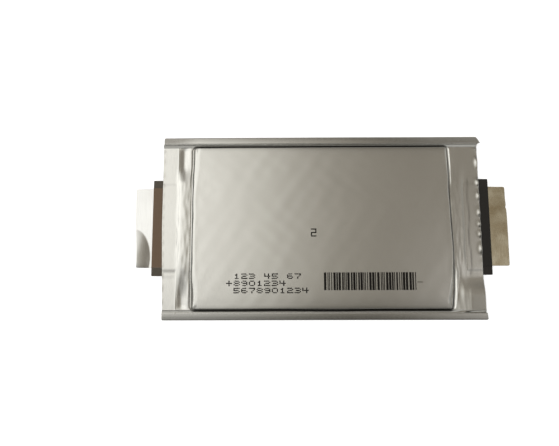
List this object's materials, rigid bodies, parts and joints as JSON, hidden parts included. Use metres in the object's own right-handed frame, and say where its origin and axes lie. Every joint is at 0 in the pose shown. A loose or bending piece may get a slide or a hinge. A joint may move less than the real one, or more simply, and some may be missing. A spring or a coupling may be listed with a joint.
{
  "type": "pouch battery cell",
  "caption": "Flat lithium-ion pouch cell in aluminium laminate, with a wide flat lead at each end and hemmed long edges.",
  "frame": {"origin": "middle of the lower cup's flat face, on the surface that the cell lies on", "axes": "+X along the leads, from the positive lead to the negative lead; +Y across the cell, towards one hemmed edge; +Z through the thickness, out of the upper cup's face"},
  "size_m": [0.2452, 0.1208, 0.0055],
  "materials": {
    "pouch_laminate": "satin, nylon-faced aluminium laminate",
    "aluminium_lead": "smooth, bare",
    "nickel_plated_lead": "smooth, dull nickel plating on copper",
    "sealing_film": "dark sealing film",
    "weld_tape": "amber tape",
    "stack_tape": "green tape",
    "separator": "matt white microporous film",
    "cathode_coating": "matt black coating on aluminium foil",
    "anode_coating": "matt graphite coating on copper foil"
  },
  "bodies": {
    "root": {"upper_pouch_film": "pouch_laminate", "lower_pouch_film": "pouch_laminate", "positive_lead": "aluminium_lead", "negative_lead": "nickel_plated_lead", "separator_ribbon": "separator", "positive_sealing_strip_upper": "sealing_film", "positive_sealing_strip_lower": "sealing_film", "negative_sealing_strip_upper": "sealing_film", "negative_sealing_strip_lower": "sealing_film", "positive_weld_tape_upper": "weld_tape", "positive_weld_tape_lower": "weld_tape", "negative_weld_tape_upper": "weld_tape", "negative_weld_tape_lower": "weld_tape", "stack_tape_1": "stack_tape", "stack_tape_2": "stack_tape", "stack_tape_3": "stack_tape", "stack_tape_4": "stack_tape", "cathode_sheet_01": "cathode_coating", "cathode_sheet_02": "cathode_coating", "cathode_sheet_03": "cathode_coating", "cathode_sheet_04": "cathode_coating", "cathode_sheet_05": "cathode_coating", "cathode_sheet_06": "cathode_coating", "cathode_sheet_07": "cathode_coating", "cathode_sheet_08": "cathode_coating", "cathode_sheet_09": "cathode_coating", "cathode_sheet_10": "cathode_coating", "cathode_sheet_11": "cathode_coating", "cathode_sheet_12": "cathode_coating", "cathode_sheet_13": "cathode_coating", "cathode_sheet_14": "cathode_coating", "cathode_sheet_15": "cathode_coating", "cathode_sheet_16": "cathode_coating", "anode_sheet_01": "anode_coating", "anode_sheet_02": "anode_coating", "anode_sheet_03": "anode_coating", "anode_sheet_04": "anode_coating", "anode_sheet_05": "anode_coating", "anode_sheet_06": "anode_coating", "anode_sheet_07": "anode_coating", "anode_sheet_08": "anode_coating", "anode_sheet_09": "anode_coating", "anode_sheet_10": "anode_coating", "anode_sheet_11": "anode_coating", "anode_sheet_12": "anode_coating", "anode_sheet_13": "anode_coating", "anode_sheet_14": "anode_coating", "anode_sheet_15": "anode_coating", "anode_sheet_16": "anode_coating", "anode_sheet_17": "anode_coating"}
  },
  "joints": []
}
